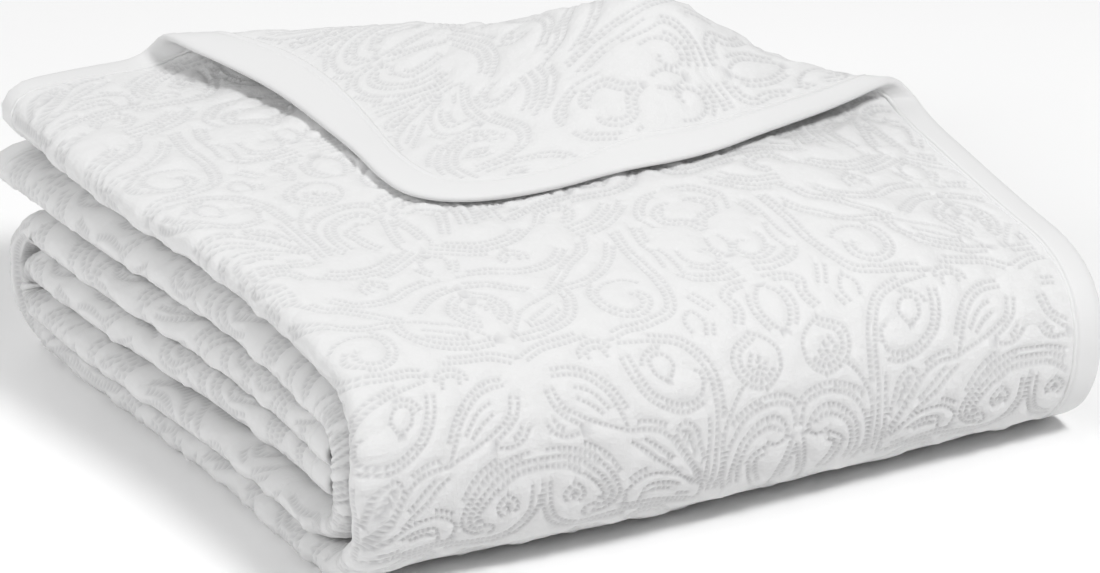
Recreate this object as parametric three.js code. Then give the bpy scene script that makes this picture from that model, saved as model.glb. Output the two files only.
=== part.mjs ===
// A quilted bedspread, folded for a shelf.
// The cloth is folded back and forth into four panels, the long strip that this makes is folded in
// three, and one corner of the top panel is turned back over the bundle.
// Millimetres, +Z up. +X runs along the front fold to the open side, -Y is the front.
import * as THREE from 'three';

// Driving dimensions
const clothThickness = 5;
const panelRun = 530; // straight run of a panel between the side folds
const topOverhang = 50; // the top panel's side edge passes the side folds by this
const innerSetback = 12; // the innermost panel's side edge stops short by this
const sideTurn = 32; // cloth used by one side fold
const pitchLow = 15; // layer spacing in the bottom and middle thirds
const pitchTop = 19.5; // layer spacing in the top third, which lies looser
const seatGap = 17; // spacing where the top third lies on the middle one
const rollSpread = 3; // how far the two layers of a side roll part at the roll
const frontLine = 72; // where the front turn begins, behind the bundle's foremost point
const frontDepth = 0.84; // depth of the front turn over its height
const frontBow = 16; // how far the middle of the front stands out
const backLine = 478; // where the back turn begins
const backDepth = 0.8;
const turnPower = 0.88; // below 1, the front and back turns are fuller than an ellipse
const innerEnd = 72; // where the middle third ends, inside the front turn
const topEndLeft = 550; // back edge of the top third at the rolls
const topEndRight = 606; // and of the top panel at its free corner, laid flat
const topEndInner = 534; // and of the three panels under it
const endSink = 7; // the inner panels of the top third sink behind the middle third by this
const openTurn = 13; // how far the one turn on the open side stands out
const spreadFade = 70; // distance over which spread layers come together again
const bindingWidth = 25;
const pieceGap = 0.3;
const cornerRadius = 90;
const flapLift = 8.5; // spacing between the turned-back corner and the panel it lies on

// How far the side rolls stand out, from the start to the end of each part of the length.
const rollReaches = {
  top: [25, 16], front: [16, 26], bottom: [30, 24], back: [22, 16], middle: [18, 8],
};

// How the bundle settles, as shares of a height or as distances.
const settling = {
  front: 0.85, // height left at the front
  openSide: 0.15, // height lost along the open side
  crown: 0.018,
  backRise: 0.03, // height gained at the back of the rolls
  waves: 0.006,
  topLean: 5,
  rollLean: 3.5,
  backLean: 14,
  backBelly: 22,
  tuck: 14, // the bottom layers' retreat at the front of the open side
  bowLoss: 0.3, // share of the front's bow that is lost at the open side
};

// The turned-back corner, along its diagonal: the panel starts to rise, turns over at its nose, and
// comes down onto the panel again, with a peak in its crest towards the right.
const cornerTurn = {
  near: 368, // where the turn starts, at its nearest to the front left
  nearAt: -95,
  sweepLeft: 950,
  sweepRight: 680,
  noseLeft: 20, // how far the nose stands out past the start
  noseFull: 145,
  noseLoss: 0.55,
  landing: 338,
  landingRise: 180,
  crestLeft: 18,
  crest: 30,
  peak: 42,
  peakAt: 45,
  peakLeft: 90,
  peakRight: 65,
};

const baseLevel = clothThickness / 2;
const middleTop = baseLevel + 7 * pitchLow;
const topLevel = middleTop + seatGap + 3 * pitchTop;
const frontCentre = (topLevel + baseLevel) / 2;
const backCentre = (middleTop + baseLevel) / 2;

const clamp01 = (v) => Math.min(1, Math.max(0, v));
const mix = (a, b, w) => a + (b - a) * w;
const ease = (a, b, v) => {
  const w = clamp01((v - a) / (b - a));
  return w * w * (3 - 2 * w);
};

// Lengths across the cloth: panel, side turn, panel and so on, from the top panel's side edge.
const acrossRuns = [
  { panel: 0, length: panelRun + topOverhang },
  { turn: 0, length: sideTurn },
  { panel: 1, length: panelRun },
  { turn: 1, length: sideTurn },
  { panel: 2, length: panelRun },
  { turn: 2, length: sideTurn },
  { panel: 3, length: panelRun - innerSetback },
];
// Lengths along the cloth: top third, front turn, bottom third, back turn, middle third.
const halfOval = (radius, depth) => Math.PI * radius * Math.sqrt((1 + depth * depth) / 2);
const alongRuns = [
  { part: 'top', length: topEndRight - frontLine },
  { part: 'front', length: halfOval(topLevel - frontCentre, frontDepth) },
  { part: 'bottom', length: backLine - frontLine },
  { part: 'back', length: halfOval(middleTop - backCentre, backDepth) },
  { part: 'middle', length: backLine - innerEnd },
];
const total = (runs) => runs.reduce((sum, run) => sum + run.length, 0);
const clothWidth = total(acrossRuns);
const clothLength = total(alongRuns);

function runAt(runs, distance) {
  let left = Math.max(0, distance);
  for (const run of runs) {
    if (left <= run.length) return { ...run, share: left / run.length };
    left -= run.length;
  }
  return { ...runs[runs.length - 1], share: 1 };
}

// Offset of one layer from the outer face of its strip, spread at the side rolls.
function layerOffset(level, pitch, x) {
  const atRolls = rollSpread * Math.exp(-Math.max(0, x) / spreadFade);
  const atOpenSide = rollSpread * Math.exp(-Math.max(0, panelRun - x) / spreadFade);
  const spread = [0, 1.5 * atRolls - atOpenSide, -0.5 * atRolls + atOpenSide, atRolls][level];
  return level * pitch + spread;
}

// The path of one layer in the upright plane, front to back.
function layerPath(level, x, along) {
  const run = runAt(alongRuns, along);
  const topOffset = layerOffset(level, pitchTop, x);
  const lowOffset = layerOffset(level, pitchLow, x);
  if (run.part === 'top') {
    const panelEnd = mix(topEndLeft, topEndRight, ease(170, 480, x));
    const end = level === 0 ? panelEnd : topEndInner + 3 * level;
    const y = mix(end, frontLine, run.share);
    const sink = level === 0 ? 0 : endSink * ease(460, 540, y) * (1 - 0.2 * level);
    return { y, z: topLevel - topOffset - sink };
  }
  if (run.part === 'bottom') return { y: mix(frontLine, backLine, run.share), z: baseLevel + lowOffset };
  if (run.part === 'middle') return { y: mix(backLine, innerEnd, run.share), z: middleTop - lowOffset };
  const angle = Math.PI * run.share;
  const round = Math.sign(Math.cos(angle)) * Math.abs(Math.cos(angle)) ** turnPower;
  const bow = Math.sin(angle) ** turnPower;
  if (run.part === 'front') {
    const offset = mix(topOffset, lowOffset, run.share);
    const radius = topLevel - frontCentre - offset;
    return { y: frontLine - frontDepth * radius * bow, z: frontCentre + radius * round };
  }
  const radius = middleTop - backCentre - lowOffset;
  return { y: backLine + backDepth * radius * bow, z: backCentre - radius * round };
}

function rollReach(along) {
  const { part, share } = runAt(alongRuns, along);
  return mix(rollReaches[part][0], rollReaches[part][1], share);
}

function foldedPoint(across, along) {
  const run = runAt(acrossRuns, across);
  if (run.panel !== undefined) {
    const start = [panelRun + topOverhang, 0, panelRun, 0][run.panel];
    const end = [0, panelRun, 0, panelRun - innerSetback][run.panel];
    const x = mix(start, end, run.share);
    const point = layerPath(run.panel, x, along);
    return new THREE.Vector3(x, point.y, point.z);
  }
  const onRolls = run.turn !== 1;
  const side = onRolls ? 0 : panelRun;
  const outer = layerPath(run.turn, side, along);
  const inner = layerPath(run.turn + 1, side, along);
  const angle = Math.PI * run.share;
  const weight = (1 - Math.cos(angle)) / 2;
  const reach = Math.sin(angle) ** 0.9 * (onRolls ? -rollReach(along) : openTurn);
  return new THREE.Vector3(side + reach, mix(outer.y, inner.y, weight), mix(outer.z, inner.z, weight));
}

// The turn's start, nose, landing and crest at a place along the corner's diagonal.
function cornerAt(along) {
  const turn = cornerTurn;
  const aside = along - turn.nearAt;
  const rise = turn.near + aside ** 2 / (aside < 0 ? turn.sweepLeft : turn.sweepRight);
  const reach = mix(turn.noseLeft, turn.noseFull, ease(-350, -110, along));
  const peakWidth = along < turn.peakAt ? turn.peakLeft : turn.peakRight;
  return {
    rise,
    nose: rise + reach * (1 - turn.noseLoss * ease(-60, 280, along)),
    landing: turn.landing + turn.landingRise * ease(60, 260, along),
    crest: mix(turn.crestLeft, turn.crest, ease(-370, -260, along))
      + turn.peak * Math.exp(-(((along - turn.peakAt) / peakWidth) ** 2)),
  };
}

// The section of the turn: up from the panel to the nose, over the crest and down onto the panel.
function turnSection({ rise, nose, landing, crest }) {
  const noseHeight = 0.45 * crest;
  const shoulder = (crest - 0.718 * noseHeight - 0.282 * flapLift) / 0.4436;
  const rising = new THREE.CubicBezierCurve(
    new THREE.Vector2(rise, 0), new THREE.Vector2(mix(rise, nose, 0.6), 0),
    new THREE.Vector2(nose, 0.4 * noseHeight), new THREE.Vector2(nose, noseHeight));
  const falling = new THREE.CubicBezierCurve(
    new THREE.Vector2(nose, noseHeight), new THREE.Vector2(nose, noseHeight + shoulder),
    new THREE.Vector2(mix(landing, nose, 0.45), flapLift), new THREE.Vector2(landing, flapLift));
  return { rising, falling };
}

function turnCorner(point) {
  const outward = (point.x + point.y) * Math.SQRT1_2;
  const along = (point.x - point.y) * Math.SQRT1_2;
  const station = cornerAt(along);
  if (outward <= station.rise) return point;
  const { rising, falling } = turnSection(station);
  const used = outward - station.rise;
  const up = rising.getLength();
  const over = falling.getLength();
  let place;
  if (used < up) place = rising.getPointAt(used / up);
  else if (used < up + over) place = falling.getPointAt((used - up) / over);
  else place = new THREE.Vector2(station.landing - (used - up - over), flapLift);
  return new THREE.Vector3((place.x + along) * Math.SQRT1_2, (place.x - along) * Math.SQRT1_2,
    point.z + place.y);
}

// The bundle as it settles: lower at the front and along the open side, a little wavy.
function settle(point) {
  const { x, y, z } = point;
  const height = z - baseLevel;
  const share = height / (topLevel - baseLevel);
  const atRolls = 1 - ease(0, 160, x);
  const atOpenSide = ease(380, 580, x);
  const front = mix(settling.front, 1, ease(0, 300, y));
  const openSide = 1 - settling.openSide * ease(400, 600, x);
  const crown = 1 + settling.crown * Math.sin(Math.PI * clamp01(x / panelRun));
  const waves = 1 + settling.waves * Math.sin(x / 58 + 1.3) * Math.sin(y / 66) * share;
  const backRise = 1 + settling.backRise * atRolls * share * ease(350, 530, y);
  const lean = settling.topLean * share * Math.sin(y / 95 + 0.6)
    + settling.rollLean * Math.sin(height / 23 + y / 120);
  const belly = settling.backBelly * Math.sin(Math.PI * clamp01(share / 0.85));
  const backReach = ease(120, 520, y) * (settling.backLean + belly);
  const bow = frontBow * ease(0, 230, x) * (1 - settling.bowLoss * atOpenSide) * (1 - ease(-10, 160, y));
  const tuck = settling.tuck * atOpenSide * (1 - share) * ease(300, 0, y);
  return new THREE.Vector3(
    x + (lean - backReach) * atRolls - tuck,
    y - bow,
    baseLevel + height * front * openSide * crown * waves * backRise);
}

function clothPoint(across, along) {
  let point = foldedPoint(across, along);
  const run = runAt(acrossRuns, across);
  if (run.panel === 0 && runAt(alongRuns, along).part === 'top') point = turnCorner(point);
  return settle(point);
}

// A point of the cloth moved off its middle surface.
function facePoint(across, along, offset) {
  const step = 0.5;
  const a = clothPoint(Math.min(across + step, clothWidth), along)
    .sub(clothPoint(Math.max(across - step, 0), along));
  const b = clothPoint(across, Math.min(along + step, clothLength))
    .sub(clothPoint(across, Math.max(along - step, 0)));
  const normal = a.cross(b).normalize();
  return clothPoint(across, along).addScaledVector(normal, offset);
}

// Stations at which the surfaces are sampled, closer where the cloth turns.
function stations(runs, counts, start, end) {
  const list = [start];
  let from = 0;
  runs.forEach((run, k) => {
    for (let i = 1; i <= counts[k]; i += 1) {
      const at = from + (run.length * i) / counts[k];
      if (at > start + 2 && at < end - 2) list.push(at);
    }
    from += run.length;
  });
  list.push(end);
  return list;
}

// Rounds a corner of the rectangle: a square of side `radius` becomes a quarter disc.
function roundCorner(across, along, inset, radius) {
  const right = across > clothWidth / 2;
  const far = along > clothLength / 2;
  const u = (right ? across - (clothWidth - inset - radius) : inset + radius - across) / radius;
  const v = (far ? along - (clothLength - inset - radius) : inset + radius - along) / radius;
  if (u <= 0 || v <= 0) return [across, along];
  const du = u * Math.sqrt(1 - (v * v) / 2) - u;
  const dv = v * Math.sqrt(1 - (u * u) / 2) - v;
  return [across + (right ? du : -du) * radius, along + (far ? dv : -dv) * radius];
}

function closedMesh(positions, triangles) {
  const geometry = new THREE.BufferGeometry();
  const values = positions.flatMap((point) => point.toArray());
  geometry.setAttribute('position', new THREE.Float32BufferAttribute(values, 3));
  geometry.setIndex(triangles);
  geometry.computeVertexNormals();
  return geometry;
}

const acrossCounts = [22, 4, 3, 4, 3, 4, 3];
const alongCounts = [22, 8, 3, 6, 3];
const cornerSteps = 6; // even, so that one step ends on the corner's diagonal
const edgeAcross = stations(acrossRuns, acrossCounts, cornerRadius, clothWidth - cornerRadius);
const edgeAlong = stations(alongRuns, alongCounts, cornerRadius, clothLength - cornerRadius);

// Adds the stations inside the rounded corners, at the steps that the binding has there.
function withCorners(list, inset, size) {
  const radius = cornerRadius - inset;
  const steps = [];
  for (let k = cornerSteps / 2; k > 0; k -= 1) {
    const share = Math.SQRT2 * Math.sin((Math.PI / 2) * (k / cornerSteps));
    steps.push(cornerRadius - radius * share);
  }
  return [...steps, ...list, ...steps.map((at) => size - at).reverse()];
}

// The quilted cloth: one sheet with both faces and its rim.
function quiltedCloth() {
  const inset = bindingWidth + pieceGap;
  const us = withCorners(edgeAcross, inset, clothWidth);
  const vs = withCorners(edgeAlong, inset, clothLength);
  const positions = [];
  const half = clothThickness / 2;
  for (const face of [half, -half]) {
    for (const v of vs) {
      for (const u of us) {
        const [across, along] = roundCorner(u, v, inset, cornerRadius - inset);
        positions.push(facePoint(across, along, face));
      }
    }
  }
  const triangles = [];
  const faceCount = us.length * vs.length;
  const quad = (a, b, c, d) => triangles.push(a, b, d, b, c, d); // split along the corner's diagonal
  const at = (i, j) => j * us.length + i;
  for (let j = 0; j < vs.length - 1; j += 1) {
    for (let i = 0; i < us.length - 1; i += 1) {
      quad(at(i, j), at(i + 1, j), at(i + 1, j + 1), at(i, j + 1));
      const back = [at(i, j + 1), at(i + 1, j + 1), at(i + 1, j), at(i, j)].map((n) => n + faceCount);
      quad(...back);
    }
  }
  const rim = [];
  for (let i = 0; i < us.length - 1; i += 1) rim.push(at(i, 0));
  for (let j = 0; j < vs.length - 1; j += 1) rim.push(at(us.length - 1, j));
  for (let i = us.length - 1; i > 0; i -= 1) rim.push(at(i, vs.length - 1));
  for (let j = vs.length - 1; j > 0; j -= 1) rim.push(at(0, j));
  rim.forEach((a, k) => {
    const b = rim[(k + 1) % rim.length];
    quad(a + faceCount, b + faceCount, b, a);
  });
  return closedMesh(positions, triangles);
}

// The binding: a folded strip sewn round the whole edge.
function edgeBinding() {
  const half = clothThickness / 2;
  const loop = [];
  const addCorner = (centreU, centreV, start) => {
    for (let k = 1; k < cornerSteps; k += 1) {
      const angle = start + (Math.PI / 2) * (k / cornerSteps);
      loop.push([centreU, centreV, Math.cos(angle), Math.sin(angle)]);
    }
  };
  const farU = clothWidth - cornerRadius;
  const farV = clothLength - cornerRadius;
  edgeAcross.forEach((u) => loop.push([u, cornerRadius, 0, -1]));
  addCorner(farU, cornerRadius, -Math.PI / 2);
  edgeAlong.forEach((v) => loop.push([farU, v, 1, 0]));
  addCorner(farU, farV, 0);
  [...edgeAcross].reverse().forEach((u) => loop.push([u, farV, 0, 1]));
  addCorner(cornerRadius, farV, Math.PI / 2);
  [...edgeAlong].reverse().forEach((v) => loop.push([cornerRadius, v, -1, 0]));
  addCorner(cornerRadius, cornerRadius, Math.PI);
  const inner = cornerRadius - bindingWidth;
  const section = [[inner, half], [cornerRadius, half], [cornerRadius, -half], [inner, -half]];
  const positions = [];
  for (const [u, v, du, dv] of loop) {
    for (const [reach, face] of section) {
      positions.push(facePoint(u + du * reach, v + dv * reach, face));
    }
  }
  const triangles = [];
  loop.forEach((_, k) => {
    const a = 4 * k;
    const b = 4 * ((k + 1) % loop.length);
    for (let side = 0; side < 4; side += 1) {
      const next = (side + 1) % 4;
      triangles.push(a + side, a + next, b + side, a + next, b + next, b + side);
    }
  });
  return closedMesh(positions, triangles);
}

const cotton = new THREE.MeshStandardMaterial({ color: 0xf4f4f2, roughness: 0.85, metalness: 0 });
const tape = new THREE.MeshStandardMaterial({ color: 0xf1f1ef, roughness: 0.7, metalness: 0 });

const cloth = new THREE.Mesh(quiltedCloth(), cotton);
cloth.name = 'quilted_cloth';
const binding = new THREE.Mesh(edgeBinding(), tape);
binding.name = 'edge_binding';

const bedspread = new THREE.Group();
bedspread.add(cloth, binding);

// The origin is the centre of the footprint, on the surface that the bundle lies on.
const box = new THREE.Box3().setFromObject(bedspread);
const centre = box.getCenter(new THREE.Vector3());
bedspread.children.forEach((piece) => piece.geometry.translate(-centre.x, -centre.y, -box.min.z));

export default bedspread;
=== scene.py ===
import math
import bmesh
import bpy
import numpy as np
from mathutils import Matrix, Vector, kdtree, noise
from mathutils.geometry import delaunay_2d_cdt


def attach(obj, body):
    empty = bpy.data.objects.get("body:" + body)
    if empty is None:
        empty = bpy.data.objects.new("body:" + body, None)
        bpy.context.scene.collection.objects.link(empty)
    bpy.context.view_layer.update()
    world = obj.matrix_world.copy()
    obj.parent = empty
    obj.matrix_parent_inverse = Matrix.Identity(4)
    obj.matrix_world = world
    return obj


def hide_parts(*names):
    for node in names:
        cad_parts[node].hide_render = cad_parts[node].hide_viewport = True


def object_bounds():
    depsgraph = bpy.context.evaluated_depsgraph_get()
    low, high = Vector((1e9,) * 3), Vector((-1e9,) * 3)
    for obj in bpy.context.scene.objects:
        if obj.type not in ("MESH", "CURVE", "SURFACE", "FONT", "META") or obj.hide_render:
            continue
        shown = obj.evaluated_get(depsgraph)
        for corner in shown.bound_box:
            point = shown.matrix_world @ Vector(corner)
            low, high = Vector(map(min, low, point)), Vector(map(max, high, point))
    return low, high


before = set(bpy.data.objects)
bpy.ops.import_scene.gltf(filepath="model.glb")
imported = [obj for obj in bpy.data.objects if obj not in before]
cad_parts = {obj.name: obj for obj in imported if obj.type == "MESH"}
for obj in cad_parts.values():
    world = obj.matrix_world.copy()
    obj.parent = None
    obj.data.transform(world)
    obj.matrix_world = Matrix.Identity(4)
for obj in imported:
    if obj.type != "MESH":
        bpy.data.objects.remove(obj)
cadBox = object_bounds()
print("frame loaded")

# lengths in this script are millimetres until a mesh is made
cloth = {
    "thickness": 5.0,
    "panelRun": 530.0,  # a panel between the side folds
    "topOverhang": 50.0,
    "innerSetback": 12.0,
    "sideTurn": 32.0,
    "pitchLow": 15.0,  # layer spacing, bottom and middle thirds
    "pitchTop": 19.5,
    "seatGap": 17.0,
    "rollSpread": 3.0,
    "spreadFade": 70.0,
    "frontLine": 72.0,
    "frontDepth": 0.84,
    "frontBow": 16.0,
    "backLine": 478.0,
    "backDepth": 0.8,
    "turnPower": 0.88,
    "innerEnd": 72.0,
    "topEndLeft": 550.0,
    "topEndRight": 606.0,
    "topEndInner": 534.0,
    "endSink": 7.0,
    "openTurn": 13.0,
    "flapLift": 8.5,
    "cornerRadius": 90.0,
    "bindingWidth": 25.0,
}
rollReaches = np.array([(25, 16), (16, 26), (30, 24), (22, 16), (18, 8)], float)
settling = {
    "front": 0.85,
    "openSide": 0.15,
    "crown": 0.018,
    "backRise": 0.03,
    "waves": 0.006,
    "topLean": 5.0,
    "rollLean": 3.5,
    "backLean": 14.0,
    "backBelly": 22.0,
    "tuck": 14.0,
    "bowLoss": 0.3,
}
cornerTurn = {  # the turned-back corner, along its diagonal
    "near": 368.0,  # where the turn starts, at its nearest to the front left
    "nearAt": -95.0,
    "sweepLeft": 950.0,
    "sweepRight": 680.0,
    "noseLeft": 20.0,  # how far the nose stands out past the start
    "noseFull": 145.0,
    "noseLoss": 0.55,
    "landing": 338.0,
    "landingRise": 180.0,
    "crestLeft": 18.0,
    "crest": 30.0,
    "peak": 42.0,
    "peakAt": 45.0,
    "peakLeft": 90.0,
    "peakRight": 65.0,
}


def mix(a, b, w):
    return a + (b - a) * w


def ease(a, b, v):
    w = np.clip((v - a) / (b - a), 0, 1)
    return w * w * (3 - 2 * w)


def halfOval(radius, depth):
    return math.pi * radius * math.sqrt((1 + depth ** 2) / 2)


baseLevel = cloth["thickness"] / 2
middleTop = baseLevel + 7 * cloth["pitchLow"]
topLevel = middleTop + cloth["seatGap"] + 3 * cloth["pitchTop"]
frontCentre = (topLevel + baseLevel) / 2
backCentre = (middleTop + baseLevel) / 2
acrossEdges = np.cumsum([
    0,
    cloth["panelRun"] + cloth["topOverhang"], cloth["sideTurn"],
    cloth["panelRun"], cloth["sideTurn"],
    cloth["panelRun"], cloth["sideTurn"],
    cloth["panelRun"] - cloth["innerSetback"],
])
alongEdges = np.cumsum([
    0,
    cloth["topEndRight"] - cloth["frontLine"],
    halfOval(topLevel - frontCentre, cloth["frontDepth"]),
    cloth["backLine"] - cloth["frontLine"],
    halfOval(middleTop - backCentre, cloth["backDepth"]),
    cloth["backLine"] - cloth["innerEnd"],
])
clothWidth = acrossEdges[-1]
clothLength = alongEdges[-1]


def locate(edges, distance):
    part = np.clip(np.searchsorted(edges, distance, side="left") - 1, 0, len(edges) - 2)
    share = np.clip((distance - edges[part]) / (edges[part + 1] - edges[part]), 0, 1)
    return part, share


def layerPath(level, x, along):  # one layer in the upright plane, front to back
    part, share = locate(alongEdges, along)
    atRolls = cloth["rollSpread"] * np.exp(-np.maximum(0, x) / cloth["spreadFade"])
    atOpen = cloth["rollSpread"] * np.exp(-np.maximum(0, cloth["panelRun"] - x) / cloth["spreadFade"])
    spread = np.select(
        [level == 0, level == 1, level == 2],
        [0 * x, 1.5 * atRolls - atOpen, atOpen - 0.5 * atRolls],
        atRolls)
    topOffset = level * cloth["pitchTop"] + spread
    lowOffset = level * cloth["pitchLow"] + spread
    panelEnd = mix(cloth["topEndLeft"], cloth["topEndRight"], ease(170, 480, x))
    layerEnd = np.where(level == 0, panelEnd, cloth["topEndInner"] + 3 * level)
    yTop = mix(layerEnd, cloth["frontLine"], share)
    sink = np.where(level == 0, 0, cloth["endSink"] * ease(460, 540, yTop) * (1 - 0.2 * level))
    angle = np.pi * share
    rounded = np.sign(np.cos(angle)) * np.abs(np.cos(angle)) ** cloth["turnPower"]
    bow = np.clip(np.sin(angle), 0, 1) ** cloth["turnPower"]
    frontRadius = topLevel - frontCentre - mix(topOffset, lowOffset, share)
    backRadius = middleTop - backCentre - lowOffset
    parts = [part == k for k in range(4)]
    y = np.select(parts, [
        yTop,
        cloth["frontLine"] - cloth["frontDepth"] * frontRadius * bow,
        mix(cloth["frontLine"], cloth["backLine"], share),
        cloth["backLine"] + cloth["backDepth"] * backRadius * bow,
    ], mix(cloth["backLine"], cloth["innerEnd"], share))
    z = np.select(parts, [
        topLevel - topOffset - sink,
        frontCentre + frontRadius * rounded,
        baseLevel + lowOffset,
        backCentre - backRadius * rounded,
    ], middleTop - lowOffset)
    return y, z


def foldedPoint(across, along):
    run, share = locate(acrossEdges, across)
    fold = run // 2
    turning = run % 2 == 1
    width = cloth["panelRun"]
    start = np.array([width + cloth["topOverhang"], 0, width, 0])[fold]
    end = np.array([0, width, 0, width - cloth["innerSetback"]])[fold]
    x = np.where(turning, np.where(fold == 1, width, 0), mix(start, end, share))
    y, z = layerPath(fold, x, along)
    yNext, zNext = layerPath(np.minimum(fold + 1, 3), x, along)
    angle = np.pi * share
    weight = np.where(turning, (1 - np.cos(angle)) / 2, 0)
    part, partShare = locate(alongEdges, along)
    rollReach = mix(rollReaches[part, 0], rollReaches[part, 1], partShare)
    reach = np.clip(np.sin(angle), 0, 1) ** 0.9 * np.where(fold == 1, cloth["openTurn"], -rollReach)
    return x + np.where(turning, reach, 0), mix(y, yNext, weight), mix(z, zNext, weight)


def cornerAt(along):  # where the turn starts, its nose, its landing and its crest
    turn = cornerTurn
    aside = along - turn["nearAt"]
    rise = turn["near"] + aside ** 2 / np.where(aside < 0, turn["sweepLeft"], turn["sweepRight"])
    reach = mix(turn["noseLeft"], turn["noseFull"], ease(-350, -110, along))
    nose = rise + reach * (1 - turn["noseLoss"] * ease(-60, 280, along))
    landing = turn["landing"] + turn["landingRise"] * ease(60, 260, along)
    peakWidth = np.where(along < turn["peakAt"], turn["peakLeft"], turn["peakRight"])
    crest = mix(turn["crestLeft"], turn["crest"], ease(-370, -260, along))
    crest += turn["peak"] * np.exp(-((along - turn["peakAt"]) / peakWidth) ** 2)
    return rise, nose, landing, crest


def bezier(points, steps):
    a, b, c, d = (p[:, None] for p in points)
    t = steps[None, :]
    return (1 - t) ** 3 * a + 3 * (1 - t) ** 2 * t * b + 3 * (1 - t) * t ** 2 * c + t ** 3 * d


def turnCorner(x, y, z):
    half = math.sqrt(0.5)
    outward, along = (x + y) * half, (x - y) * half
    rise, nose, landing, crest = cornerAt(along)
    noseHeight = 0.45 * crest
    shoulder = (crest - 0.718 * noseHeight - 0.282 * cloth["flapLift"]) / 0.4436
    zero = 0 * rise
    lift = zero + cloth["flapLift"]
    steps = np.linspace(0, 1, 25)
    q = np.hstack([
        bezier((rise, mix(rise, nose, 0.6), nose, nose), steps),
        bezier((nose, nose, mix(landing, nose, 0.45), landing), steps[1:])])
    h = np.hstack([
        bezier((zero, zero, 0.4 * noseHeight, noseHeight), steps),
        bezier((noseHeight, noseHeight + shoulder, lift, lift), steps[1:])])
    length = np.cumsum(np.hypot(np.diff(q, axis=1), np.diff(h, axis=1)), axis=1)
    length = np.hstack([zero[:, None], length])
    used = outward - rise
    rows = np.arange(len(q))
    at = np.clip((length < used[:, None]).sum(axis=1) - 1, 0, length.shape[1] - 2)
    w = np.clip((used - length[rows, at]) / (length[rows, at + 1] - length[rows, at]), 0, 1)
    newQ = mix(q[rows, at], q[rows, at + 1], w) - np.maximum(0, used - length[:, -1])
    newH = mix(h[rows, at], h[rows, at + 1], w)
    flat = used <= 0
    newQ = np.where(flat, outward, newQ)
    newH = np.where(flat, 0, newH)
    return (newQ + along) * half, (newQ - along) * half, z + newH


def settle(x, y, z):
    st = settling
    height = z - baseLevel
    share = height / (topLevel - baseLevel)
    atRolls = 1 - ease(0, 160, x)
    atOpen = ease(380, 580, x)
    front = mix(st["front"], 1, ease(0, 300, y))
    openSide = 1 - st["openSide"] * ease(400, 600, x)
    crown = 1 + st["crown"] * np.sin(np.pi * np.clip(x / cloth["panelRun"], 0, 1))
    waves = 1 + st["waves"] * np.sin(x / 58 + 1.3) * np.sin(y / 66) * share
    backRise = 1 + st["backRise"] * atRolls * share * ease(350, 530, y)
    lean = st["topLean"] * share * np.sin(y / 95 + 0.6) + st["rollLean"] * np.sin(height / 23 + y / 120)
    belly = st["backBelly"] * np.sin(np.pi * np.clip(share / 0.85, 0, 1))
    backReach = ease(120, 520, y) * (st["backLean"] + belly)
    bow = cloth["frontBow"] * ease(0, 230, x) * (1 - st["bowLoss"] * atOpen) * (1 - ease(-10, 160, y))
    tuck = st["tuck"] * atOpen * (1 - share) * ease(300, 0, y)
    return np.stack([
        x + (lean - backReach) * atRolls - tuck,
        y - bow,
        baseLevel + height * front * openSide * crown * waves * backRise], -1)


def clothPoint(across, along):
    x, y, z = foldedPoint(across, along)
    flap = (across <= acrossEdges[1]) & (along <= alongEdges[1])
    x[flap], y[flap], z[flap] = turnCorner(x[flap], y[flap], z[flap])
    return settle(x, y, z)


def facePoint(across, along, offset):  # a point of the cloth, off its middle by offset
    step = 0.5
    a = clothPoint(np.minimum(across + step, clothWidth), along)
    a -= clothPoint(np.maximum(across - step, 0), along)
    b = clothPoint(across, np.minimum(along + step, clothLength))
    b -= clothPoint(across, np.maximum(along - step, 0))
    normal = np.cross(a, b)
    normal /= np.linalg.norm(normal, axis=1, keepdims=True)
    return clothPoint(across, along) + normal * offset[:, None]


# the bundle is centred on the frame's origin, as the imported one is
sample = np.meshgrid(np.linspace(0, clothWidth, 300), np.linspace(0, clothLength, 300))
sampled = clothPoint(sample[0].ravel(), sample[1].ravel())[:, :2]
boxMiddle = (np.array(cadBox[0]) + np.array(cadBox[1]))[:2] * 500
centreShift = np.append(boxMiddle - (sampled.min(axis=0) + sampled.max(axis=0)) / 2, 0)

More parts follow.
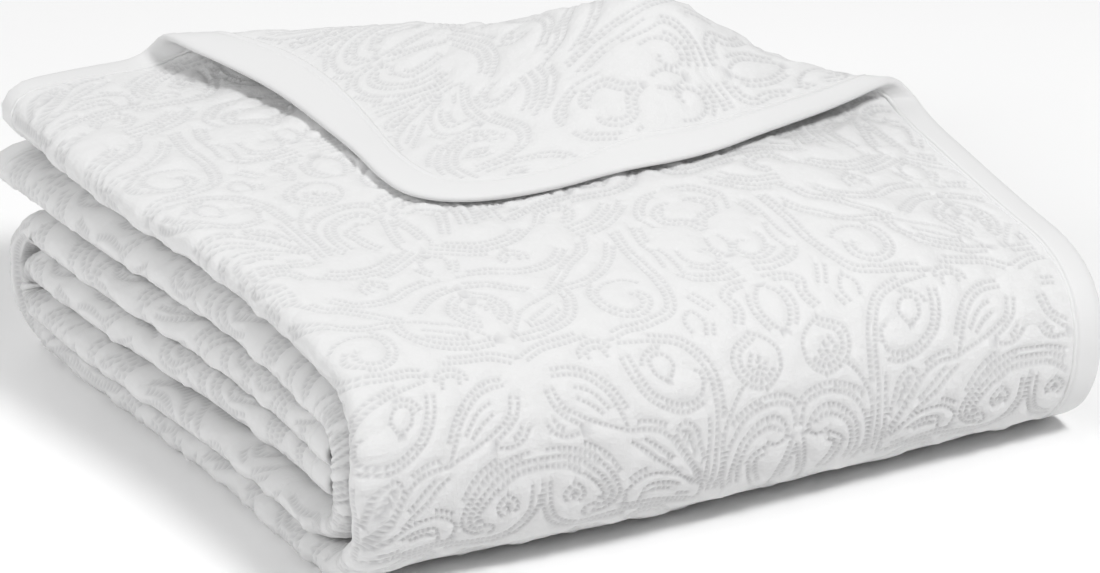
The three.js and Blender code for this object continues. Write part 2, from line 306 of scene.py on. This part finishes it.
# quilting: half of the damask unit as rows of stitches, (across from the mirror line, along)
damask = {
    "mirror": 264.0,
    "unitWidth": 403.0,
    "unitLength": 310.0,
    "pitch": 4.2,  # from one needle hole to the next
    "rowGap": 6.0,
    "echoClear": 4.8,
}
damaskRows = [
    # scroll beside the mirror line
    (1, [(53, 719), (59, 697), (56, 676), (44, 660), (23, 653), (6, 658), (2, 672)]),
    (1, [(49, 715), (52, 694), (46, 674), (33, 664), (20, 662),
         (10, 668), (10, 677), (18, 681), (27, 676)]),
    (1, [(5, 678), (11, 707), (13, 728)]),
    (1, [(27, 681), (38, 689), (36, 704), (28, 726)]),
    # stems and the pointed bracket above them
    (1, [(68, 716), (67, 690), (66, 660), (66, 635), (70, 613), (81, 594), (98, 585), (127, 579)]),
    (1, [(74, 716), (73, 690), (72, 660), (73, 645)]),
    (1, [(62, 716), (61, 690), (60, 665), (50, 645), (41, 634)]),
    (1, [(127, 575), (115, 572), (92, 570), (73, 563), (64, 544), (61, 522), (62, 491), (58, 455)]),
    (1, [(52, 520), (50, 500), (51, 480), (46, 455)]),
    # leaves inside and outside the bracket
    (1, [(123, 588), (120, 607), (111, 626), (91, 638), (76, 633), (74, 618), (84, 611)]),
    (1, [(28, 596), (44, 606), (47, 622), (38, 636), (24, 640),
         (12, 630), (10, 614), (18, 602), (28, 596)]),
    (1, [(30, 610), (35, 622), (26, 629), (20, 618)]),
    # petals of the fan
    (1, [(133, 707), (136, 692), (123, 682), (105, 683), (86, 693), (72, 707)]),
    (1, [(123, 702), (120, 691), (105, 691), (90, 698)]),
    (1, [(136, 655), (117, 668), (98, 682), (79, 703)]),
    (1, [(136, 648), (114, 652), (99, 664), (86, 682), (74, 702)]),
    (1, [(78, 690), (90, 672), (99, 660), (94, 651), (83, 657), (76, 679)]),
    # bell on the other mirror line
    (2, [(201, 656), (185, 657), (172, 662), (157, 673), (147, 689),
         (152, 700), (163, 698), (167, 706), (158, 712)]),
    (1, [(195, 668), (193, 691), (184, 708), (167, 716), (136, 713), (105, 714), (80, 722)]),
    (1, [(136, 707), (111, 708), (88, 715), (72, 722)]),
    # two leaves with close rows
    (1, [(186, 595), (164, 599), (147, 616), (136, 644)]),
    (1, [(186, 602), (180, 621), (161, 636), (138, 647)]),
    (1, [(172, 606), (158, 614), (146, 632)]),
    (1, [(172, 615), (160, 624), (148, 638)]),
    (1, [(194, 553), (173, 530), (150, 519), (134, 509), (111, 488), (92, 474), (84, 455)]),
    (1, [(194, 554), (170, 552), (148, 543), (137, 527), (134, 512), (108, 506), (86, 490), (72, 468)]),
    (1, [(176, 543), (160, 535), (145, 527)]),
    (1, [(180, 548), (162, 544), (146, 536)]),
    # flower on the mirror line
    (1, [(36, 588), (30, 574), (33, 560), (22, 551), (2, 549)]),
    (1, [(2, 558), (9, 568), (11, 580), (7, 592), (2, 600)]),
    (1, [(52, 547), (46, 560), (40, 572)]),
    # bowls above the flower
    (1, [(32, 498), (33, 512), (26, 524), (14, 526), (8, 516), (14, 508), (22, 512)]),
    (1, [(2, 520), (7, 508), (6, 498), (2, 492)]),
    (1, [(45, 491), (41, 510), (42, 530), (24, 538), (2, 536)]),
    # garland
    (2, [(198, 424), (178, 436), (156, 444), (130, 440), (110, 426)]),
    (1, [(110, 426), (100, 411), (84, 408), (75, 419), (82, 432), (94, 430)]),
    (2, [(90, 452), (66, 447), (47, 434), (34, 418)]),
    # heart, seeds and curls between them
    (1, [(2, 484), (9, 473), (20, 468), (25, 457), (20, 446), (9, 443), (2, 449)]),
    (1, [(200, 498), (189, 506), (184, 519), (191, 532), (200, 537)]),
    (1, [(200, 509), (195, 516), (200, 526)]),
    (1, [(78, 530), (86, 521), (101, 519), (113, 528), (113, 543),
         (103, 553), (91, 550), (88, 540), (96, 534)]),
    (1, [(98, 618), (92, 606), (98, 596), (108, 598), (108, 610), (100, 618)]),
    (1, [(60, 592), (56, 578), (62, 566), (70, 574), (68, 588)]),
    (1, [(174, 695), (168, 685), (176, 676), (184, 684), (179, 694)]),
    (1, [(136, 470), (134, 458), (144, 450), (154, 458), (150, 470)]),
    (1, [(200, 436), (192, 443), (192, 454), (200, 461)]),
    (1, [(136, 592), (140, 580), (151, 582), (149, 593)]),
    (1, [(30, 470), (36, 448), (22, 428), (2, 424)]),
    (1, [(198, 480), (176, 486), (158, 500), (150, 508)]),
    (1, [(198, 470), (170, 474), (146, 484), (120, 480), (100, 462)]),
    (1, [(196, 630), (190, 640), (180, 644), (168, 642)]),
    (1, [(198, 580), (180, 572), (160, 570), (140, 566)]),
]
# where the cloth shows: from and to across, from and to along
faceZones = [
    (0, 650, 0, 780),
    (560, 640, 780, clothLength),
    (1684, 1760, 0, clothLength),
    (0, 650, 1190, 1352),
]
backZones = [
    (0, 480, 0, 430),
    (820, 1196, 0, 430),
    (1120, 1196, 430, clothLength),
]


def smoothRow(points, step):  # a smooth line through the points, at even steps
    points = np.array(points, float)
    ends = np.vstack([2 * points[0] - points[1], points, 2 * points[-1] - points[-2]])
    w = np.linspace(0, 1, 16, endpoint=False)[:, None]
    pieces = []
    for a, b, c, d in zip(ends, ends[1:], ends[2:], ends[3:]):
        pieces.append(0.5 * (2 * b + (c - a) * w + (2 * a - 5 * b + 4 * c - d) * w ** 2
                             + (3 * b - a - 3 * c + d) * w ** 3))
    line = np.vstack(pieces + [points[-1:]])
    travelled = np.concatenate([[0], np.cumsum(np.hypot(*np.diff(line, axis=0).T))])
    marks = np.arange(0, travelled[-1], step)
    return np.stack([np.interp(marks, travelled, line[:, k]) for k in range(2)], 1)


def beside(line, distance):
    ahead = np.gradient(line, axis=0)
    ahead /= np.linalg.norm(ahead, axis=1, keepdims=True) + 1e-9
    return line + np.stack([-ahead[:, 1], ahead[:, 0]], 1) * distance


def inZones(points, zones):
    inside = np.zeros(len(points), bool)
    for a, b, c, d in zones:
        inside |= (points[:, 0] > a) & (points[:, 0] < b) & (points[:, 1] > c) & (points[:, 1] < d)
    return inside


def insideCloth(points, inset):  # within the rounded outline, drawn in by inset
    radius = cloth["cornerRadius"] - inset
    u = np.minimum(points[:, 0], clothWidth - points[:, 0]) - inset
    v = np.minimum(points[:, 1], clothLength - points[:, 1]) - inset
    inCorner = (u < radius) & (v < radius)
    return (u > 0) & (v > 0) & (~inCorner | (np.hypot(u - radius, v - radius) < radius))


def placedCopies(points):  # the row with its mirrored and repeated neighbours
    width, length = damask["unitWidth"], damask["unitLength"]
    mirrored = points * (-1, 1)
    return np.vstack([
        copy + (across, along)
        for across, along in ((0, 0), (width, 0), (width / 2, length), (width / 2, -length),
                              (-width / 2, length), (-width / 2, -length))
        for copy in (points, mirrored)])


def echoRow(line, taken):  # the longest stretch of a second row beside this one
    best = []
    for side in (1, -1):
        row = beside(line, side * damask["rowGap"])
        if len(row) < 8:
            continue
        row = smoothRow(row[::3], damask["pitch"] / 2)
        gaps = np.hypot(*(row[:, None, :] - taken[None, :, :]).transpose(2, 0, 1)).min(axis=1)
        run = []
        for point, free in zip(row, gaps > damask["echoClear"]):
            run = run + [point] if free else []
            if len(run) > len(best):
                best = run
    return np.array(best) if len(best) > 6 else None


def allRows(zones):
    half = damask["pitch"] / 2
    lines = []
    for count, points in damaskRows:
        base = smoothRow(points, half)
        for k in range(count):
            row = beside(base, k * damask["rowGap"])
            lines.append(smoothRow(row[::3], half) if k else base)
    taken = placedCopies(np.vstack(lines))
    for line in list(lines):
        echo = echoRow(line, taken)
        if echo is not None:
            lines.append(echo)
            taken = np.vstack([taken, placedCopies(echo)])
    units = []
    columns = int(clothWidth // damask["unitWidth"]) + 2
    levels = int(clothLength // damask["unitLength"]) + 3
    for level in range(-2, levels):
        for column in range(-1, columns):
            drop = 0.5 * damask["unitWidth"] * (level % 2)
            for side in (1, -1):
                for line in lines:
                    row = line * (side, 1)
                    row = row + (damask["mirror"] + column * damask["unitWidth"] + drop,
                                 level * damask["unitLength"])
                    keep = inZones(row, zones) & insideCloth(row, cloth["bindingWidth"] + 2)
                    if keep.sum() > 3:
                        units.append((row, keep))
    return units


def nearestOf(tree, points):
    return np.array([tree.find((p[0], p[1], 0))[2] for p in points])


def treeOf(points):
    tree = kdtree.KDTree(len(points))
    for k, p in enumerate(points):
        tree.insert((p[0], p[1], 0), k)
    tree.balance()
    return tree


def thinned(points, cell):
    _, first = np.unique(np.round(points / cell).astype(int), axis=0, return_index=True)
    return points[np.sort(first)]


def lattice(a, b, c, d, stepAcross, stepAlong):
    across = np.arange(a, b, stepAcross)
    along = np.arange(c, d, stepAlong)
    u, v = np.meshgrid(across, along)
    u = u + (np.arange(len(along)) % 2)[:, None] * stepAcross / 2
    return np.stack([u.ravel(), v.ravel()], 1)


def outline(inset, step):
    radius = cloth["cornerRadius"] - inset
    line = []
    corners = ((clothWidth, 0, -90), (clothWidth, clothLength, 0), (0, clothLength, 90), (0, 0, 180))
    for cu, cv, start in corners:
        centreU = abs(cu - inset - radius)
        centreV = abs(cv - inset - radius)
        for k in range(13):
            angle = math.radians(start + 90 * k / 12)
            line.append((centreU + radius * math.cos(angle), centreV + radius * math.sin(angle)))
    line = np.array(line + line[:1])
    travelled = np.concatenate([[0], np.cumsum(np.hypot(*np.diff(line, axis=0).T))])
    marks = np.linspace(0, travelled[-1], int(travelled[-1] / step), endpoint=False)
    return np.stack([np.interp(marks, travelled, line[:, k]) for k in range(2)], 1)


quiltCloth = {
    "puff": 2.3,  # how far the cloth swells between rows
    "puffReach": 4.4,
    "holeDepth": 1.9,
    "rowDepth": 0.4,
    "ripple": 0.9,
    "underBinding": 12.0,
    "underTape": 1.5,
}


def rimDistance(points):  # how far in from the cloth's rounded outline
    radius = cloth["cornerRadius"]
    u = np.minimum(points[:, 0], clothWidth - points[:, 0])
    v = np.minimum(points[:, 1], clothLength - points[:, 1])
    rounded = radius - np.hypot(radius - u, radius - v)
    return np.where((u < radius) & (v < radius), rounded, np.minimum(u, v))


def quiltPoints(zones):
    rows = allRows(zones)
    holes = np.vstack([row[keep & (np.arange(len(row)) % 2 == 0)] for row, keep in rows])
    bridges = np.vstack([row[keep & (np.arange(len(row)) % 2 == 1)] for row, keep in rows])
    holes = thinned(holes, 1.9)
    holeTree = treeOf(holes)
    near = np.array([len(holeTree.find_range((p[0], p[1], 0), 5.2)) for p in holes])
    holes = holes[near > 2]  # a row stops short of a lone hole
    bridges = bridges[nearestOf(treeOf(holes), bridges) > 1.5]
    bridges = thinned(bridges, 1.4)
    stitched = np.vstack([holes, bridges])
    stitchTree = treeOf(stitched)
    sides = np.vstack([
        beside(row, side * 2.3)[keep & (np.arange(len(row)) % 2 == 1)]
        for row, keep in rows for side in (1, -1)])
    sides = sides[insideCloth(sides, cloth["bindingWidth"])]
    sides = thinned(sides[nearestOf(stitchTree, sides) > 1.7], 1.9)
    fill = [
        lattice(0, clothWidth, 0, clothLength, 20, 20),
        lattice(0, 650, 0, 800, 8, 7.5),
        lattice(0, 480, 0, 430, 6, 6),
        lattice(0, 650, 1180, 1360, 9, 8),
    ]
    for k in (1, 3, 5):
        fill.append(lattice(acrossEdges[k] - 14, acrossEdges[k + 1] + 14, 0, clothLength, 4, 7))
    for k in (1, 3):
        fill.append(lattice(0, clothWidth, alongEdges[k] - 10, alongEdges[k + 1] + 10, 16, 9))
    fill = np.vstack(fill)
    fill = fill[insideCloth(fill, quiltCloth["underBinding"] + 3)]
    fill = fill[nearestOf(treeOf(np.vstack([stitched, sides])), fill) > 3.2]
    fill = thinned(fill, 3.4)
    rim = outline(quiltCloth["underBinding"], 7)
    points = np.vstack([stitched, sides, fill, rim])
    return points, len(holes), stitchTree


def sheetMesh(name, face, zones):  # face is 1 for the upper cloth and -1 for the lower one
    points, holeCount, stitchTree = quiltPoints(zones)
    corners, _, faces, origins, _, _ = delaunay_2d_cdt([Vector(p) for p in points], [], [], 0, 1e-5)
    flat = np.array([(c[0], c[1]) for c in corners])
    isHole = np.array([bool(o) and o[0] < holeCount for o in origins])
    distance = nearestOf(stitchTree, flat)
    q = quiltCloth
    swell = q["puff"] * (1 - np.exp(-(distance / q["puffReach"]) ** 2)) - q["rowDepth"]
    swell = np.where(isHole, -q["holeDepth"], swell) * ease(24, 34, rimDistance(flat))
    ripple = np.array([
        noise.noise((u / 26, v / 17, 3)) + 0.5 * noise.noise((u / 11, v / 9, 8)) for u, v in flat])
    halfThick = mix(q["underTape"], baseLevel, ease(20, 28, rimDistance(flat)))
    offset = face * (halfThick + swell) + q["ripple"] * ripple
    place = (facePoint(flat[:, 0], flat[:, 1], offset) + centreShift) / 1000
    place[:, 2] = np.maximum(place[:, 2], 0)
    bm = bmesh.new()
    uvLayer = bm.loops.layers.uv.new("clothUv")
    # needle holes are flagged in this mask, which the cotton material uses to paint shade into them
    holeShadeLayer = bm.verts.layers.float.new("needleHoleShadeMask")
    verts = [bm.verts.new(p) for p in place]
    for vert, hole in zip(verts, isHole):
        vert[holeShadeLayer] = 1.0 if hole else 0.0
    for f in faces:
        order = f if face > 0 else f[::-1]
        made = bm.faces.new([verts[k] for k in order])
        made.smooth = True
        for loop, k in zip(made.loops, order):
            loop[uvLayer].uv = flat[k] / 1000
    mesh = bpy.data.meshes.new(name)
    bm.to_mesh(mesh)
    bm.free()
    piece = bpy.data.objects.new(name, mesh)
    bpy.context.scene.collection.objects.link(piece)
    print(name, len(mesh.vertices), "points", len(mesh.polygons), "faces")
    return piece


edgeTape = {
    "stations": 5.0,
    "section": [  # out from the seam towards the edge, off the cloth's middle
        (-0.8, 1.3), (-0.4, 3.0), (0.7, 3.7), (1.9, 3.6), (2.9, 2.6), (4.0, 3.3), (6.0, 3.5),
        (12.0, 3.6), (19.0, 3.4), (23.4, 2.6), (25.0, 1.1),
    ],
}


def tapeMesh(name):
    inner = cloth["cornerRadius"] - cloth["bindingWidth"]
    outer = outline(0, edgeTape["stations"])
    centre = np.stack([
        np.clip(outer[:, 0], cloth["cornerRadius"], clothWidth - cloth["cornerRadius"]),
        np.clip(outer[:, 1], cloth["cornerRadius"], clothLength - cloth["cornerRadius"])], 1)
    out = outer - centre
    out /= np.linalg.norm(out, axis=1, keepdims=True)
    section = edgeTape["section"] + [(r, -h) for r, h in reversed(edgeTape["section"])]
    columns, rows = len(outer) + 1, len(section) + 1
    bm = bmesh.new()
    bmesh.ops.create_grid(bm, x_segments=columns - 1, y_segments=rows - 1, size=0.5, calc_uvs=True)
    bm.verts.ensure_lookup_table()
    uvLayer = bm.loops.layers.uv.verify()
    order = sorted(bm.verts, key=lambda v: (round(v.co.y, 5), round(v.co.x, 5)))
    travelled = np.arange(columns) * edgeTape["stations"] / 1000
    label = {}
    for j in range(rows):
        reach, height = section[j % len(section)]
        spot = centre + out * (inner + reach)
        place = (facePoint(spot[:, 0], spot[:, 1], np.full(len(spot), height)) + centreShift) / 1000
        place[:, 2] = np.maximum(place[:, 2], 0)
        for i in range(columns):
            vert = order[j * columns + i]
            vert.co = place[i % len(outer)]
            label[vert] = (travelled[i], j * 0.003)
    for f in bm.faces:
        f.smooth = True
        for loop in f.loops:
            loop[uvLayer].uv = label[loop.vert]
    bmesh.ops.remove_doubles(bm, verts=bm.verts, dist=1e-6)
    bmesh.ops.recalc_face_normals(bm, faces=bm.faces)
    mesh = bpy.data.meshes.new(name)
    bm.to_mesh(mesh)
    bm.free()
    piece = bpy.data.objects.new(name, mesh)
    bpy.context.scene.collection.objects.link(piece)
    print(name, len(mesh.polygons), "faces")
    return piece


def newMaterial(name, roughness, sheen):
    material = bpy.data.materials.new(name)
    material.use_nodes = True
    shader = material.node_tree.nodes["Principled BSDF"]
    shader.inputs["Roughness"].default_value = roughness
    shader.inputs["Sheen Weight"].default_value = sheen
    shader.inputs["Sheen Roughness"].default_value = 0.5
    shader.inputs["Specular IOR Level"].default_value = 0.25
    return material, shader


def addNode(material, kind, inputs=None, **settings):
    node = material.node_tree.nodes.new(kind)
    for key, value in settings.items():
        setattr(node, key, value)
    for key, value in (inputs or {}).items():
        if isinstance(value, bpy.types.NodeSocket):
            material.node_tree.links.new(value, node.inputs[key])
        else:
            node.inputs[key].default_value = value
    return node


cottonLook = {
    "white": (0.755, 0.755, 0.755, 1),
    # painted shade: the darker colour mixed into needle holes, standing in for shade in the pits
    "paintedPitShade": (0.62, 0.62, 0.625, 1),
    "threads": 1300.0,  # per metre of waves
}


def quiltedCotton():
    material, shader = newMaterial("quiltedCotton", 0.82, 0.15)
    uv = addNode(material, "ShaderNodeUVMap", uv_map="clothUv").outputs["UV"]
    mottle = addNode(material, "ShaderNodeTexNoise", {
        "Vector": uv, "Scale": 60.0, "Detail": 3.0}).outputs["Fac"]
    shade = addNode(material, "ShaderNodeMapRange", {
        "Value": mottle, "From Min": 0.3, "From Max": 0.7,
        "To Min": 0.975, "To Max": 1.0}).outputs["Result"]
    # painted shade: the mask mixes needle holes toward a darker colour, shade painted into the pits on
    # top of their real relief
    hole = addNode(material, "ShaderNodeAttribute", attribute_name="needleHoleShadeMask").outputs["Fac"]
    pitShadeTint = addNode(material, "ShaderNodeMix", {
        "Factor": hole, 6: cottonLook["white"], 7: cottonLook["paintedPitShade"]}, data_type="RGBA").outputs[2]
    colour = addNode(material, "ShaderNodeMix", {
        "Factor": 1.0, 6: pitShadeTint, 7: shade}, data_type="RGBA", blend_type="MULTIPLY").outputs[2]
    warp = addNode(material, "ShaderNodeTexWave", {
        "Vector": uv, "Scale": cottonLook["threads"] / 6.28}, bands_direction="X").outputs["Fac"]
    weft = addNode(material, "ShaderNodeTexWave", {
        "Vector": uv, "Scale": cottonLook["threads"] / 6.28}, bands_direction="Y").outputs["Fac"]
    weave = addNode(material, "ShaderNodeMath", {
        0: warp, 1: weft}, operation="MAXIMUM").outputs["Value"]
    puckers = addNode(material, "ShaderNodeTexNoise", {
        "Vector": uv, "Scale": 170.0, "Detail": 2.0, "Roughness": 0.5}).outputs["Fac"]
    soft = addNode(material, "ShaderNodeBump", {
        "Strength": 0.6, "Distance": 0.0016, "Height": puckers}).outputs["Normal"]
    fine = addNode(material, "ShaderNodeBump", {
        "Strength": 0.25, "Distance": 0.0002, "Height": weave, "Normal": soft}).outputs["Normal"]
    links = material.node_tree.links
    links.new(colour, shader.inputs["Base Color"])
    links.new(fine, shader.inputs["Normal"])
    return material


def tapeCotton():
    material, shader = newMaterial("bindingCotton", 0.62, 0.2)
    uv = addNode(material, "ShaderNodeUVMap", uv_map="UVMap").outputs["UV"]
    streak = addNode(material, "ShaderNodeTexNoise", {
        "Vector": uv, "Scale": 90.0, "Detail": 2.0}).outputs["Fac"]
    colour = addNode(material, "ShaderNodeMapRange", {
        "Value": streak, "From Min": 0.3, "From Max": 0.7,
        "To Min": 0.73, "To Max": 0.765}).outputs["Result"]
    twill = addNode(material, "ShaderNodeTexWave", {
        "Vector": uv, "Scale": 220.0}, bands_direction="DIAGONAL").outputs["Fac"]
    bump = addNode(material, "ShaderNodeBump", {
        "Strength": 0.2, "Distance": 0.0002, "Height": twill}).outputs["Normal"]
    links = material.node_tree.links
    links.new(colour, shader.inputs["Base Color"])
    links.new(bump, shader.inputs["Normal"])
    return material


def build():
    cotton = quiltedCotton()
    upper = sheetMesh("quiltedFace", 1, faceZones)
    lower = sheetMesh("quiltedBack", -1, backZones)
    tape = tapeMesh("edgeBinding")
    for piece in (upper, lower):
        piece.data.materials.append(cotton)
    tape.data.materials.append(tapeCotton())
    for piece in (upper, lower, tape):
        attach(piece, "root")
    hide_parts("quilted_cloth")
    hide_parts("quilted_cloth")
    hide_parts("edge_binding")
    print("cloth made")


studioLights = {  # place, size and power, in metres and watts
    "keyLight": ((0.9, -1.8, 3.0), 0.8, 77),
    "fillLight": ((-2.8, -0.2, 1.9), 1.4, 38),
    "backLight": ((0.2, 3.6, 2.4), 2.6, 38),
}


def studio():
    lookAt = Vector((0.0, 0.0, 0.09))
    azimuth, elevation, distance = math.radians(-28.3), math.radians(25), 5.0
    back = Vector((
        math.sin(azimuth) * math.cos(elevation),
        -math.cos(azimuth) * math.cos(elevation),
        math.sin(elevation)))
    camera = bpy.data.cameras.new("camera")
    camera.lens = 222
    camera.sensor_width = 36
    camera.shift_x, camera.shift_y = 0.0095, -0.0165
    holder = bpy.data.objects.new("camera", camera)
    holder.location = lookAt + back * distance
    holder.rotation_euler = (-back).to_track_quat("-Z", "Y").to_euler()
    bpy.context.scene.collection.objects.link(holder)
    bpy.context.scene.camera = holder

    bm = bmesh.new()
    bmesh.ops.create_grid(bm, x_segments=1, y_segments=1, size=6)
    mesh = bpy.data.meshes.new("floor")
    bm.to_mesh(mesh)
    bm.free()
    floor = bpy.data.objects.new("floor", mesh)
    bpy.context.scene.collection.objects.link(floor)
    paper, shader = newMaterial("paleFloor", 0.9, 0.0)
    shader.inputs["Base Color"].default_value = (0.95, 0.95, 0.95, 1)
    mesh.materials.append(paper)

    world = bpy.data.worlds.new("studio")
    world.use_nodes = True
    world.node_tree.nodes["Background"].inputs["Color"].default_value = (1, 1, 1, 1)
    world.node_tree.nodes["Background"].inputs["Strength"].default_value = 0.33
    bpy.context.scene.world = world
    for name, (place, size, power) in studioLights.items():
        light = bpy.data.lights.new(name, "AREA")
        light.size = size
        light.energy = power
        lamp = bpy.data.objects.new(name, light)
        lamp.location = place
        lamp.rotation_euler = (-Vector(place)).to_track_quat("-Z", "Y").to_euler()
        bpy.context.scene.collection.objects.link(lamp)
    bpy.context.scene.view_settings.view_transform = "Standard"
    print("studio made")


studio()
build()
